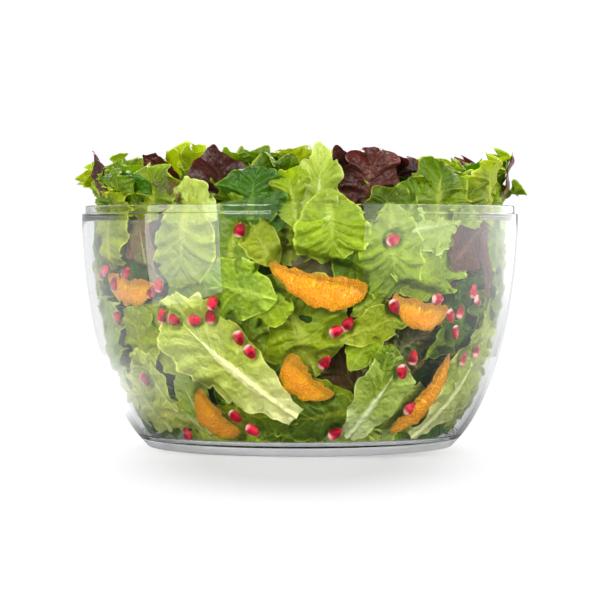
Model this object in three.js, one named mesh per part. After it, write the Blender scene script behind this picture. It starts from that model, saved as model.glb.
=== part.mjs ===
// A salad spinner's clear bowl in serving use: the bowl with its lid collar and basket pivot, the
// non-slip foot ring, and the salad that fills it and heaps over the rim. Millimetres, +Z up, origin at
// the centre of the foot's flat face. Azimuth 0 is the front (-Y) and runs towards +X. Each leaf is a
// plain plate with its true place, size and bend.
import * as THREE from "three";

// Bowl
const RIM_RADIUS = 133.7; // widest outer radius, at the shoulder under the lid collar
const RIM_HEIGHT = 146.7;
const FOOT_RADIUS = 93.5;
const WALL = 2.8;
const SHOULDER_Z = 141.8;
const COLLAR_RADIUS = 131.6; // the lid's skirt drops over this collar
const COLLAR_THICKNESS = 2.5;
const LIP_ROUND = 1.2;
const BOWL_SIDES = 48;
const WALL_STEPS = 12;

// Floor of the bowl
const RING_HEIGHT = 4.5;
const SEAT_GAP = 0.3; // between pieces that touch
const SPIGOT_OUTER = 85.7; // the short wall under the floor that the foot ring grips
const SPIGOT_INNER = 82.5;
const SPIGOT_Z = 1.4;
const FLOOR_UNDER_Z = 3.6;
const FLOOR_Z = 7;
const PIVOT_BASE = 10; // the cone that a spinning basket turns on
const PIVOT_TIP = 2.5;
const PIVOT_HEIGHT = 9;

// Salad
const LEAF_THICKNESS = 1.4;
const LEAF_ACROSS = 6; // facets of a leaf plate
const LEAF_ALONG = 8;
const RUFFLE = 1.8; // wave of a leaf's edges, each way
const RUFFLE_WAVES = 1.6;
const STEM_SHARE = 0.22; // width of a leaf's cut stem beside its widest place
const FLARE_START_Z = RIM_HEIGHT + 2; // leaves above this height lean out over the rim
const FLARE = 0.006;
const ARIL_RADIUS = 3;
const ARIL_HALF_LENGTH = 4.4;
const FRUIT_CLEARANCE = 1.2; // between a fruit piece and the wall

const deg = THREE.MathUtils.degToRad;
const v2 = (x, y) => new THREE.Vector2(x, y);

const looks = {
  clear: { color: 0xeef2f4, roughness: 0.05, metalness: 0, transparent: true, opacity: 0.3 },
  ring: { color: 0xd9dbdd, roughness: 0.45, metalness: 0 },
  green: { color: 0x8dbb3c, roughness: 0.5, metalness: 0 },
  deep: { color: 0x3f7d22, roughness: 0.5, metalness: 0 },
  red: { color: 0x5a1f2c, roughness: 0.5, metalness: 0 },
  orange: { color: 0xf39a1e, roughness: 0.35, metalness: 0 },
  aril: { color: 0xc21838, roughness: 0.2, metalness: 0 },
};
const materials = Object.fromEntries(
  Object.entries(looks).map(([name, look]) => [name, new THREE.MeshStandardMaterial(look)]),
);

const part = new THREE.Group();

// The outer wall as one curve in (radius, height), from the shoulder down to the foot.
const wallCurve = new THREE.CubicBezierCurve(
  v2(RIM_RADIUS, SHOULDER_Z - 3.8),
  v2(RIM_RADIUS, SHOULDER_Z - 10),
  v2(RIM_RADIUS - 2, 36),
  v2(FOOT_RADIUS, 0),
);

// The wall curve moved in by a distance along its normal, as points from the foot to the shoulder.
function wallInside(distance, steps) {
  const points = [];
  for (let i = steps; i >= 0; i--) {
    const along = i / steps;
    const tangent = wallCurve.getTangentAt(along);
    const inward = v2(tangent.y, -tangent.x);
    points.push(wallCurve.getPointAt(along).addScaledVector(inward, distance));
  }
  return points;
}

function lathe(points, sides, look, name) {
  const geometry = new THREE.LatheGeometry(points, sides).rotateX(Math.PI / 2);
  const mesh = new THREE.Mesh(geometry, materials[look]);
  mesh.name = name;
  return mesh;
}

function bowl() {
  const outer = wallInside(0, WALL_STEPS).filter((p) => p.y > RING_HEIGHT + SEAT_GAP);
  const inner = wallInside(WALL, WALL_STEPS).filter((p) => p.y > FLOOR_Z + 1).reverse();
  const seatRadius = wallInside(0, 200).find((p) => p.y > RING_HEIGHT + SEAT_GAP).x;
  const collarInner = COLLAR_RADIUS - COLLAR_THICKNESS;
  const profile = [
    v2(0, FLOOR_UNDER_Z),
    v2(SPIGOT_INNER, FLOOR_UNDER_Z),
    v2(SPIGOT_INNER, SPIGOT_Z),
    v2(SPIGOT_OUTER, SPIGOT_Z),
    v2(SPIGOT_OUTER, RING_HEIGHT + SEAT_GAP),
    v2(seatRadius - 0.1, RING_HEIGHT + SEAT_GAP),
    ...outer,
    v2(RIM_RADIUS, SHOULDER_Z - 0.6),
    v2(RIM_RADIUS - 0.6, SHOULDER_Z),
    v2(COLLAR_RADIUS, SHOULDER_Z),
    v2(COLLAR_RADIUS, RIM_HEIGHT - LIP_ROUND),
    v2(COLLAR_RADIUS - LIP_ROUND / 2, RIM_HEIGHT),
    v2(collarInner + LIP_ROUND / 2, RIM_HEIGHT),
    v2(collarInner, RIM_HEIGHT - LIP_ROUND),
    v2(collarInner, SHOULDER_Z),
    ...inner,
    v2(inner.at(-1).x - 4, FLOOR_Z),
    v2(PIVOT_BASE, FLOOR_Z),
    v2(PIVOT_TIP, FLOOR_Z + PIVOT_HEIGHT - 1),
    v2(0, FLOOR_Z + PIVOT_HEIGHT),
  ];
  return lathe(profile, BOWL_SIDES, "clear", "bowl");
}

function footRing() {
  const inner = SPIGOT_OUTER + SEAT_GAP;
  const topRadius = wallInside(0, 200).find((p) => p.y > RING_HEIGHT).x;
  const profile = [
    v2(inner, 0),
    v2(FOOT_RADIUS - 0.8, 0),
    v2(FOOT_RADIUS, 0.5),
    v2(topRadius, RING_HEIGHT),
    v2(inner, RING_HEIGHT),
    v2(inner, 0),
  ];
  return lathe(profile, BOWL_SIDES, "ring", "non_slip_ring");
}

// A track runs up the inside of the wall at a depth from it, then straight up past the rim and out over it.
// It turns a distance along itself into a radius, a height and the wall's outward normal.
class Track {
  constructor(depth) {
    this.points = wallInside(WALL + depth, 60);
    const top = this.points.at(-1);
    const straight = Math.min(top.x, COLLAR_RADIUS - COLLAR_THICKNESS - depth);
    for (let z = top.y + 4; z < 230; z += 4) {
      const over = Math.max(0, z - FLARE_START_Z);
      this.points.push(v2(straight + FLARE * over * over, z));
    }
    this.lengths = [0];
    for (let i = 1; i < this.points.length; i++) {
      this.lengths.push(this.lengths[i - 1] + this.points[i].distanceTo(this.points[i - 1]));
    }
  }
  at(distance) {
    let i = this.lengths.findIndex((length) => length > distance);
    i = i < 0 ? this.lengths.length - 1 : Math.max(1, i);
    const share = (distance - this.lengths[i - 1]) / (this.lengths[i] - this.lengths[i - 1]);
    const point = this.points[i - 1].clone().lerp(this.points[i], share);
    const along = this.points[i].clone().sub(this.points[i - 1]).normalize();
    return { radius: point.x, height: point.y, out: v2(along.y, -along.x) };
  }
  distanceTo(height) {
    const i = this.points.findIndex((p) => p.y > height);
    const share = (height - this.points[i - 1].y) / (this.points[i].y - this.points[i - 1].y);
    return THREE.MathUtils.lerp(this.lengths[i - 1], this.lengths[i], share);
  }
}

// Moves every vertex of a unit box: across and along run from -0.5 to 0.5, and through is -0.5 or 0.5.
function reshape(box, place) {
  const at = box.getAttribute("position");
  const p = new THREE.Vector3();
  for (let i = 0; i < at.count; i++) {
    const moved = place(at.getX(i), at.getY(i), at.getZ(i), p);
    at.setXYZ(i, moved.x, moved.y, moved.z);
  }
  box.computeVertexNormals();
  return box;
}

// Half a leaf's width at a place along it, narrow at the cut stem and widest two thirds of the way up.
function leafHalfWidth(width, along) {
  const swell = Math.sin(Math.PI * Math.pow(along + 0.5, 1.6));
  return width * (STEM_SHARE + (1 - STEM_SHARE) * Math.pow(Math.max(0, swell), 0.8));
}

// How far a leaf's edges wave out of its face; its middle stays flat.
function ruffle(across, along) {
  return RUFFLE * 4 * across * across * Math.sin(2 * Math.PI * RUFFLE_WAVES * along + 4 * across);
}

// Turns a point of a plate by the plate's spin: 0 points its tip up, 90 points it to the right seen from
// outside.
function spun(across, along, spin) {
  const c = Math.cos(deg(spin));
  const s = Math.sin(deg(spin));
  return [across * c + along * s, along * c - across * s];
}

// A mesh drawn in (outward, sideways, up) coordinates and turned round the bowl's axis to its azimuth.
function placed(geometry, look, name, azimuth) {
  const mesh = new THREE.Mesh(geometry, materials[look]);
  mesh.name = name;
  mesh.rotation.z = deg(azimuth - 90);
  return mesh;
}

// A leaf that lies along the wall at a depth from it.
function wallLeaf({ name, look, azimuth, height, depth, spin, length, width }) {
  const track = new Track(depth);
  const middle = track.distanceTo(height);
  const box = new THREE.BoxGeometry(1, 1, 1, LEAF_ACROSS, LEAF_ALONG, 1);
  const geometry = reshape(box, (u, v, w, p) => {
    const [side, up] = spun(u * leafHalfWidth(width, v), v * length, spin);
    const { radius, height: z, out } = track.at(middle + up);
    const through = w * LEAF_THICKNESS + ruffle(u, v);
    const r = radius + out.x * through;
    const angle = side / radius;
    return p.set(r * Math.cos(angle), r * Math.sin(angle), z + out.y * through);
  });
  return placed(geometry, look, name, azimuth);
}

// A leaf that stands in the heap: lean tips it outwards from upright, and bend is the sag of its length.
function heapLeaf({ name, look, azimuth, radius, height, lean, spin, length, width, bend }) {
  const box = new THREE.BoxGeometry(1, 1, 1, LEAF_ACROSS, LEAF_ALONG, 1);
  const c = Math.cos(deg(lean));
  const s = Math.sin(deg(lean));
  const geometry = reshape(box, (u, v, w, p) => {
    const [side, up] = spun(u * leafHalfWidth(width, v), v * length, spin);
    const sag = bend * (1 - 4 * v * v) - (side * side) / (2.4 * radius + 90);
    const off = w * LEAF_THICKNESS + 2 * ruffle(u, v) + sag;
    return p.set(radius + up * s + off * c, side, height + up * c - off * s);
  });
  return placed(geometry, look, name, azimuth);
}

// A peeled orange segment: a half moon, round in section, lying along the wall.
function orangeSegment({ name, azimuth, height, spin, length, width, thickness }) {
  const track = new Track(FRUIT_CLEARANCE + thickness / 2);
  const middle = track.distanceTo(height);
  const box = new THREE.BoxGeometry(1, 1, 1, 4, 8, 2);
  const geometry = reshape(box, (u, v, w, p) => {
    const taper = Math.pow(Math.cos(Math.PI * v * 0.94), 0.55);
    const belly = width * 0.35 * (1 - 4 * v * v);
    const round = Math.sqrt(1 - 2.6 * u * u);
    const [side, up] = spun(u * width * taper * (1 - 0.9 * w * w) + belly, v * length, spin);
    const { radius, height: z, out } = track.at(middle + up);
    const through = w * thickness * Math.pow(taper, 0.6) * round;
    const angle = side / radius;
    const r = radius + out.x * through;
    return p.set(r * Math.cos(angle), r * Math.sin(angle), z + out.y * through);
  });
  return placed(geometry, "orange", name, azimuth);
}

// A pomegranate aril, a drop-shaped seed resting against the wall.
function aril({ name, azimuth, height, spin }) {
  const track = new Track(FRUIT_CLEARANCE + ARIL_RADIUS);
  const { radius } = track.at(track.distanceTo(height));
  const geometry = new THREE.SphereGeometry(1, 8, 5);
  geometry.scale(ARIL_RADIUS, ARIL_HALF_LENGTH, ARIL_RADIUS).rotateX(Math.PI / 2).rotateX(-deg(spin));
  geometry.translate(radius, 0, height);
  return placed(geometry, "aril", name, azimuth);
}

// Leaves lie along the wall in layers, at depths 3.5, 9 and 14.5 behind it.
// Each row: kind, azimuth, height of its middle, depth, spin, length, width.
const wallLeaves = [
  // at the front, from left to right
  ["green", -72, 62, 3.5, -6, 62, 34],
  ["green", -62, 134, 3.5, 10, 46, 42],
  ["green", -52, 67, 3.5, -10, 40, 34],
  ["green", -57, 30, 3.5, -36, 42, 28],
  ["green", -32, 126, 3.5, -172, 52, 38],
  ["green", -22, 56, 3.5, -48, 98, 42],
  ["green", -16, 97, 3.5, -76, 42, 32],
  ["deep", -18, 26, 14.5, 70, 56, 36],
  ["green", -1, 76, 14.5, -20, 62, 52],
  ["green", 8, 135, 3.5, 174, 40, 38],
  ["deep", -2, 136, 14.5, 4, 48, 50],
  ["green", 25, 121, 3.5, 176, 52, 36],
  ["green", 40, 116, 9, 160, 50, 40],
  ["red", 55, 122, 14.5, 50, 60, 46],
  ["red", 33, 62, 14.5, 60, 50, 36],
  ["green", 24, 34, 3.5, 28, 54, 30],
  ["green", 58, 42, 3.5, 34, 84, 32],
  ["green", 77, 92, 3.5, 8, 56, 38],
  // at the sides and back
  ["green", -97, 104, 3.5, 14, 72, 46],
  ["deep", -104, 40, 3.5, 36, 64, 42],
  ["green", -150, 94, 3.5, -20, 90, 46],
  ["red", 176, 52, 3.5, 24, 74, 44],
  ["green", 118, 84, 3.5, -24, 94, 46],
  ["deep", -86, 72, 14.5, -8, 84, 54],
  ["green", -126, 60, 14.5, 10, 90, 60],
  ["deep", 146, 74, 14.5, 18, 94, 62],
  ["deep", 84, 70, 14.5, -12, 84, 56],
];

// Leaves that stand up out of the rim, at the same depths, and lean out over it.
const rimLeaves = [
  ["green", -80, 152, 7, -14, 40, 48],
  ["deep", -14, 153, 7.5, 6, 35, 42],
  ["green", 40, 153, 4, 12, 34, 40],
  ["green", 64, 153, 5, -8, 42, 46],
  ["green", 90, 150, 7, 12, 46, 50],
  ["red", 122, 152, 9, -8, 46, 48],
  ["green", 156, 151, 5, 10, 48, 52],
  ["green", -116, 151, 5, 6, 50, 56],
];

// Leaves inside the heap. Each row: kind, azimuth, radius and height of its middle, lean, spin, length,
// width, bend.
const heapLeaves = [
  // the ring behind the rim leaves
  ["green", -56, 78, 147, 28, -10, 62, 54, -4],
  ["red", -32, 100, 149, 14, -4, 60, 42, -4],
  ["green", -6, 84, 147, 26, 8, 62, 56, -5],
  ["red", 24, 98, 149, 16, 6, 58, 48, -4],
  ["green", 62, 84, 147, 30, 12, 62, 60, -5],
  ["deep", 106, 96, 145, 30, -10, 64, 66, -5],
  ["green", 150, 84, 147, 34, 8, 66, 70, -5],
  ["green", -164, 96, 145, 30, -8, 64, 66, -5],
  ["green", -116, 84, 147, 34, 10, 66, 70, -5],
  // the middle of the heap
  ["green", 16, 42, 146, 54, 6, 70, 74, -6],
  ["red", 132, 46, 144, 56, -10, 70, 76, -6],
  ["deep", -104, 46, 144, 54, 8, 70, 76, -6],
  ["green", 90, 2, 166, 88, 0, 56, 60, 4],
];

// Orange segments: azimuth, height, spin, length, width, thickness.
const orangeSegments = [
  [-54, 102, 96, 50, 16, 8],
  [5, 105, 106, 58, 18, 9],
  [35, 89, 103, 42, 16, 8],
  [3, 48, 134, 36, 17, 8],
  [-27, 26, 150, 36, 17, 8],
  [41, 36, 30, 58, 14, 8],
];

// Pomegranate arils that lie in the gaps: azimuth, height, spin.
const arils = [
  [-16, 132, 20],
  [10, 74, 70],
  [50, 84, 30],
  [12, 14, 60],
];

const leafNames = { green: "green_leaf", deep: "dark_leaf", red: "red_leaf" };
const counts = {};
function leafName(look) {
  counts[look] = (counts[look] ?? 0) + 1;
  return leafNames[look] + "_" + String(counts[look]).padStart(2, "0");
}

part.add(bowl(), footRing());
for (const [look, azimuth, height, depth, spin, length, width] of [...wallLeaves, ...rimLeaves]) {
  part.add(wallLeaf({ name: leafName(look), look, azimuth, height, depth, spin, length, width }));
}
for (const [look, azimuth, radius, height, lean, spin, length, width, bend] of heapLeaves) {
  const name = leafName(look);
  part.add(heapLeaf({ name, look, azimuth, radius, height, lean, spin, length, width, bend }));
}
orangeSegments.forEach(([azimuth, height, spin, length, width, thickness], i) => {
  const name = "orange_segment_" + (i + 1);
  part.add(orangeSegment({ name, azimuth, height, spin, length, width, thickness }));
});
arils.forEach(([azimuth, height, spin], i) => {
  part.add(aril({ name: "pomegranate_aril_" + (i + 1), azimuth, height, spin }));
});

export default part;
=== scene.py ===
# A salad spinner's clear bowl, used for serving and heaped with salad. Metres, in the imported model's frame.
# Azimuth 0 is the front (-Y) and runs towards +X, in degrees. The tables give lengths in millimetres.
import math

import bmesh
import bpy
import numpy as np
from mathutils import Euler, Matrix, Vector


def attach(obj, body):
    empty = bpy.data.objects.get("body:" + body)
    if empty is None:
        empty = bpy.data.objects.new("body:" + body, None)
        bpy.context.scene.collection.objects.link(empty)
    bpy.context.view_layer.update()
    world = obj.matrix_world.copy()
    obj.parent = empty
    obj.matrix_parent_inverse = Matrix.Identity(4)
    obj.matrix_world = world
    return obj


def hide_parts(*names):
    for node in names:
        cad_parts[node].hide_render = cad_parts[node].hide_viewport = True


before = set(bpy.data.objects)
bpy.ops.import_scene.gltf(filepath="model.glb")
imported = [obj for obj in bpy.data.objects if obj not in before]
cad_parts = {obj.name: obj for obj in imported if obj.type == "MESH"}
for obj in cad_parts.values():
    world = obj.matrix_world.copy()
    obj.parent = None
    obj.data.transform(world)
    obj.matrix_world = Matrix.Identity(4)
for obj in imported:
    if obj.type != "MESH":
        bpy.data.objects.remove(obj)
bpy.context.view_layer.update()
MM = 0.001


def columns(*arrays):
    """Arrays and numbers as the columns of one table."""
    return np.stack([a.ravel() for a in np.broadcast_arrays(*arrays)], axis=1)


def cos_sin(degrees):
    return math.cos(math.radians(degrees)), math.sin(math.radians(degrees))


# ---------------- bowl

RIM_RADIUS = 133.7
RIM_HEIGHT = 146.7
FOOT_RADIUS = 93.5
WALL = 2.8
SHOULDER_Z = 141.8
COLLAR_RADIUS = 131.6
COLLAR_THICKNESS = 2.5
COLLAR_FROM_Z = SHOULDER_Z - 4
WALL_TOP_Z = SHOULDER_Z - 3.8
WALL_HANDLES = (RIM_RADIUS, SHOULDER_Z - 10), (RIM_RADIUS - 2, 36.0)
RING_HEIGHT = 4.5
SEAT_GAP = 0.3
SPIGOT_OUTER = 85.7
SPIGOT_INNER = 82.5
SPIGOT_Z = 1.4
FLOOR_UNDER_Z = 3.6
FLOOR_Z = 7.0
PIVOT_BASE = 10.0
PIVOT_TIP = 2.5
PIVOT_HEIGHT = 9.0
CLEAR_OF_WALL = 0.5


def wall_curve(steps=400):
    """The outer wall from the foot up, as (radius, height) points of a Bezier curve, with inward normals."""
    t = np.linspace(1, 0, steps)[:, None]
    a, b, c, d = np.array([(RIM_RADIUS, WALL_TOP_Z), *WALL_HANDLES, (FOOT_RADIUS, 0.0)])
    p = (1 - t) ** 3 * a + 3 * (1 - t) ** 2 * t * b + 3 * (1 - t) * t**2 * c + t**3 * d
    along = np.gradient(p, axis=0)
    along /= np.linalg.norm(along, axis=1)[:, None]
    return p, columns(-along[:, 1], along[:, 0])


WALL_POINTS, WALL_INWARD = wall_curve()


def inner_radius(z):
    """How far out a piece may reach inside the bowl at a height."""
    inner = WALL_POINTS + (WALL + CLEAR_OF_WALL) * WALL_INWARD
    collar = COLLAR_RADIUS - COLLAR_THICKNESS - CLEAR_OF_WALL
    return np.where(z < COLLAR_FROM_Z, np.minimum(np.interp(z, inner[:, 1], inner[:, 0]), collar), collar)


# ---------------- noise

LATTICES = [np.random.default_rng(seed).uniform(-1, 1, (24, 24, 24)) for seed in range(6)]


def noise(p, scale, seed=0):
    """Smooth noise from -1 to 1 at points p, whose bumps are about scale across."""
    grid = LATTICES[seed % len(LATTICES)]
    n = grid.shape[0]
    q = p / scale + 100.3 + 7.7 * seed
    i = np.floor(q).astype(int)
    f = q - i
    f = f * f * (3 - 2 * f)
    out = 0
    for dx in (0, 1):
        for dy in (0, 1):
            for dz in (0, 1):
                w = np.abs(1 - dx - f[:, 0]) * np.abs(1 - dy - f[:, 1]) * np.abs(1 - dz - f[:, 2])
                out = out + w * grid[(i[:, 0] + dx) % n, (i[:, 1] + dy) % n, (i[:, 2] + dz) % n]
    return out


# ---------------- materials


class Nodes:
    """The node tree of a material or backdrop, with a short call for each kind of step."""

    def __init__(self, owner):
        owner.use_nodes = True
        self.tree = owner.node_tree
        self.tree.nodes.clear()

    def put(self, socket, value):
        """Gives a socket a number, a vector or a colour, or links it to a node or to a node's output."""
        if isinstance(value, bpy.types.Node):
            value = value.outputs[0]
        if isinstance(value, bpy.types.NodeSocket):
            self.tree.links.new(value, socket)
        elif socket.type == "RGBA":
            socket.default_value = (*value, 1)
        else:
            socket.default_value = value

    def add(self, kind, *values, **settings):
        """A new node. settings are its options and inputs by name, and values are its first inputs."""
        node = self.tree.nodes.new("ShaderNode" + kind)
        for key, value in settings.items():
            if hasattr(node, key):
                setattr(node, key, value)
            else:
                self.put(node.inputs[key.replace("_", " ")], value)
        for socket, value in zip(node.inputs, values):
            self.put(socket, value)
        return node

    def maths(self, operation, *values):
        return self.add("Math", *values, operation=operation)

    def times(self, a, b):
        return self.maths("MULTIPLY", a, b)

    def smooth(self, value, low, high, to_low=0.0, to_high=1.0):
        """Eases from to_low to to_high as the value goes from low to high."""
        return self.add("MapRange", value, low, high, to_low, to_high, interpolation_type="SMOOTHSTEP")

    def mix(self, share, a, b, blend="MIX"):
        node = self.add("Mix", data_type="RGBA", blend_type=blend)
        for index, value in ((0, share), (6, a), (7, b)):
            self.put(node.inputs[index], value)
        return node.outputs[2]

    def place(self):
        return self.add("TexCoord").outputs["Object"]

    def noise(self, scale, detail, **settings):
        return self.add("TexNoise", self.place(), Scale=scale, Detail=detail, **settings)

    def bump(self, height, strength, distance):
        return self.add("Bump", Height=height, Strength=strength, Distance=distance)

    def finish(self, surface):
        self.add("OutputMaterial", surface)


def new_material(name):
    mat = bpy.data.materials.new(name)
    return mat, Nodes(mat)


SIDE_VEINS = 17


def leaf_material(name, blade, dark, rib, edge, through, shine=0.42, translucency=0.4):
    """blade and dark are the colours the blade varies between, rib the midrib and veins, edge the margin."""
    mat, g = new_material(name)
    leaf = g.add("Attribute", attribute_name="leaf").outputs["Vector"]
    veins_at, out_at, up_at = g.add("SeparateXYZ", leaf).outputs
    patches = g.noise(38.0, 3.0, Roughness=0.55)
    cells = g.add("TexVoronoi", g.place(), feature="DISTANCE_TO_EDGE", Scale=230.0)
    wander = g.maths("MULTIPLY_ADD", patches, 0.09, veins_at)

    # side veins run from the midrib to the margin, and fork on the way
    def vein_lines(count, width):
        turn = g.maths("FRACT", g.times(wander, count))
        off = g.maths("ABSOLUTE", g.maths("SUBTRACT", turn, 0.5))
        return g.smooth(off, 0.0, width, 1.0, 0.0)

    near_stem = g.maths("ABSOLUTE", g.maths("SUBTRACT", veins_at, 0.5))
    past_stem = g.times(g.smooth(up_at, 0.12, 0.4), g.smooth(near_stem, 0.28, 0.4, 1.0, 0.0))
    inside = g.times(g.smooth(out_at, 0.35, 0.95, 1.0, 0.15), past_stem)
    outside = g.times(g.smooth(out_at, 0.2, 0.6, 0.0, 0.4), past_stem)
    main = g.times(vein_lines(SIDE_VEINS, 0.11), inside)
    forked = g.times(vein_lines(3 * SIDE_VEINS, 0.2), outside)
    net = g.smooth(cells, 0.0, 0.09, 0.35, 0.0)
    veins = g.maths("MAXIMUM", g.maths("MAXIMUM", main, forked), net)

    # the midrib is wide at the stem and thins towards the tip
    rib_width = g.smooth(up_at, 0.0, 0.85, 0.3, 0.015)
    midrib = g.smooth(g.maths("DIVIDE", out_at, rib_width), 0.35, 1.1, 1.0, 0.0)
    pale_base = g.smooth(up_at, 0.0, 0.45, 0.8, 0.0)

    tint = g.add("Attribute", attribute_name="tint")
    stout = tint.outputs["Alpha"]
    colour = g.mix(g.smooth(patches, 0.35, 0.68), blade, dark)
    colour = g.mix(g.times(veins, 0.2), colour, rib)
    colour = g.mix(g.smooth(out_at, 0.9, 1.0, 0.0, 0.8), colour, edge)
    colour = g.mix(g.times(pale_base, stout), colour, rib)
    colour = g.mix(g.times(midrib, stout), colour, rib)
    # the tint varies each leaf's tone at random and also carries painted shade for leaves deep in the salad
    colour = g.mix(1.0, colour, tint.outputs["Color"], "MULTIPLY")

    height = g.maths("MULTIPLY_ADD", cells, 0.9, g.times(main, -0.13))
    height = g.maths("MULTIPLY_ADD", g.noise(420.0, 2.0), 0.15, height)
    height = g.maths("MULTIPLY_ADD", g.noise(130.0, 2.0, Distortion=0.6), 1.6, height)
    bump = g.bump(height, 0.8, 0.0016)
    rough = g.smooth(patches, 0.3, 0.7, shine - 0.08, shine + 0.1)
    surface = g.add("BsdfPrincipled", colour, Specular_IOR_Level=0.26, Roughness=rough, Normal=bump)
    lit = g.add("BsdfTranslucent", g.mix(1.0, colour, through, "MULTIPLY"), Normal=bump)
    g.finish(g.add("MixShader", translucency, surface, lit))
    return mat


def clear_plastic(name, tint):
    """Clear plastic that lets lamps through, so that what is inside is lit."""
    mat, g = new_material(name)
    glass = g.add("BsdfGlass", tint, Roughness=0.0, IOR=1.49)
    passing = g.add("BsdfTransparent", tint)
    g.finish(g.add("MixShader", g.add("LightPath").outputs["Is Shadow Ray"], glass, passing))
    return mat


def frosted_plastic(name, colour):
    """Soft translucent plastic: part of the light goes straight through, and the rest spreads inside."""
    mat, g = new_material(name)
    surface = g.add("BsdfPrincipled", colour, Roughness=0.35, Normal=g.bump(g.noise(600.0, 2.0), 0.1, 0.0004))
    body = g.add("MixShader", 0.4, surface, g.add("BsdfTranslucent", colour))
    g.finish(g.add("MixShader", 0.3, body, g.add("BsdfTransparent", colour)))
    return mat


def orange_material(name):
    """Peeled orange: juice sacs that run from the inner edge to the outer, and patches of white membrane."""
    mat, g = new_material(name)
    flesh = g.add("Attribute", attribute_name="flesh").outputs["Vector"]
    stretched = g.add("Mapping", flesh, Scale=(26.0, 3.6, 1.0))
    sacs = g.add("TexVoronoi", stretched, feature="DISTANCE_TO_EDGE", Scale=1.0, Randomness=0.9)
    hue = g.add("TexVoronoi", stretched, Scale=1.0, Randomness=0.9).outputs["Color"]
    colour = g.mix(g.add("SeparateColor", hue), (0.8, 0.23, 0.0), (0.94, 0.4, 0.003))
    colour = g.mix(g.smooth(sacs, 0.0, 0.1, 0.4, 0.0), colour, (1.0, 0.52, 0.06))
    membrane = g.smooth(g.noise(120.0, 3.0), 0.6, 0.76, 0.0, 0.25)
    colour = g.mix(membrane, colour, (1.0, 0.6, 0.25))
    bump = g.bump(g.smooth(sacs, 0.0, 0.25), 1.0, 0.0016)
    soft = dict(Subsurface_Weight=0.35, Subsurface_Radius=(1.0, 0.4, 0.1), Subsurface_Scale=0.004)
    g.finish(g.add("BsdfPrincipled", colour, Roughness=0.2, Normal=bump, **soft))
    return mat


def aril_material(name, deep, light):
    """A pomegranate seed's wet flesh: patches of two reds, and a pale end."""
    mat, g = new_material(name)
    patches = g.noise(210.0, 2.0)
    drop = g.add("Attribute", attribute_name="drop").outputs["Fac"]
    end = g.maths("MULTIPLY_ADD", patches, 0.35, drop)
    colour = g.mix(g.smooth(patches, 0.42, 0.6), deep, light)
    colour = g.mix(g.smooth(end, 0.92, 1.15, 0.0, 0.8), colour, (0.9, 0.5, 0.45))
    bump = g.bump(patches, 0.12, 0.0006)
    soft = dict(Subsurface_Weight=0.2, Subsurface_Radius=(1.0, 0.15, 0.15), Subsurface_Scale=0.003)
    wet = dict(Coat_Weight=1.0, Coat_Roughness=0.08)
    g.finish(g.add("BsdfPrincipled", colour, Roughness=0.1, Normal=bump, **soft, **wet))
    return mat


# Colours: the blade, its dark patches, the rib and veins, the margin, and the light that comes through.
GREENS = {
    "green": leaf_material(
        "lettuce_green", (0.14, 0.23, 0.002), (0.06, 0.125, 0.001), (0.46, 0.54, 0.035), (0.42, 0.52, 0.04),
        (1.1, 1.15, 0.2),
    ),
    "lime": leaf_material(
        "lettuce_lime", (0.27, 0.37, 0.003), (0.155, 0.235, 0.002), (0.6, 0.66, 0.1), (0.58, 0.66, 0.08),
        (1.1, 1.12, 0.22),
    ),
    "pale": leaf_material(
        "lettuce_pale", (0.43, 0.51, 0.085), (0.29, 0.38, 0.025), (0.76, 0.8, 0.4), (0.7, 0.75, 0.25),
        (1.1, 1.08, 0.4),
    ),
    "deep": leaf_material(
        "leaf_deep", (0.045, 0.13, 0.002), (0.02, 0.075, 0.001), (0.2, 0.34, 0.02), (0.18, 0.32, 0.02),
        (1.0, 1.3, 0.3), shine=0.36,
    ),
    "red": leaf_material(
        "leaf_red", (0.067, 0.019, 0.014), (0.024, 0.008, 0.007), (0.22, 0.11, 0.07), (0.12, 0.03, 0.03),
        (1.4, 0.5, 0.5), shine=0.34, translucency=0.25,
    ),
    "bronze": leaf_material(
        "leaf_bronze", (0.13, 0.07, 0.025), (0.08, 0.12, 0.02), (0.4, 0.42, 0.16), (0.12, 0.04, 0.03),
        (1.2, 0.8, 0.4), shine=0.38, translucency=0.28,
    ),
}
FLESH = orange_material("orange_flesh")
SEEDS = [
    aril_material("aril_crimson", (0.13, 0.0, 0.005), (0.34, 0.003, 0.014)),
    aril_material("aril_ruby", (0.2, 0.001, 0.01), (0.5, 0.012, 0.035)),
]
CLEAR = clear_plastic("clear_plastic", (0.985, 0.99, 0.99))
FROSTED = frosted_plastic("ring_plastic", (0.7, 0.7, 0.71))

# ---------------- making pieces


def mesh_object(name, points, faces, mat, attributes=()):
    """points are in millimetres. attributes holds (name, kind, values) rows, one value per point."""
    mesh = bpy.data.meshes.new(name)
    mesh.from_pydata((np.asarray(points) * MM).tolist(), [], faces)
    mesh.polygons.foreach_set("use_smooth", [True] * len(mesh.polygons))
    for key, kind, values in attributes:
        layer = mesh.attributes.new(key, kind, "POINT")
        field = {"FLOAT_COLOR": "color", "FLOAT_VECTOR": "vector", "FLOAT": "value"}[kind]
        layer.data.foreach_set(field, np.ascontiguousarray(values, np.float32).ravel())
    mesh.materials.append(mat)
    mesh.update()
    obj = bpy.data.objects.new(name, mesh)
    bpy.context.scene.collection.objects.link(obj)
    return obj


def grid_faces(rows, per_row):
    """Quads of a grid whose points are listed row by row."""
    i = np.arange(rows * per_row).reshape(rows, per_row)
    return np.stack([i[:-1, :-1], i[:-1, 1:], i[1:, 1:], i[1:, :-1]], axis=-1).reshape(-1, 4).tolist()


def tube_faces(rings, sides):
    """Quads round a tube whose points are listed ring by ring."""
    i = np.arange(rings * sides).reshape(rings, sides)
    j = np.roll(i, -1, axis=1)
    return np.stack([i[:-1], j[:-1], j[1:], i[1:]], axis=-1).reshape(-1, 4).tolist()


ON_AXIS = 1e-6


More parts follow.
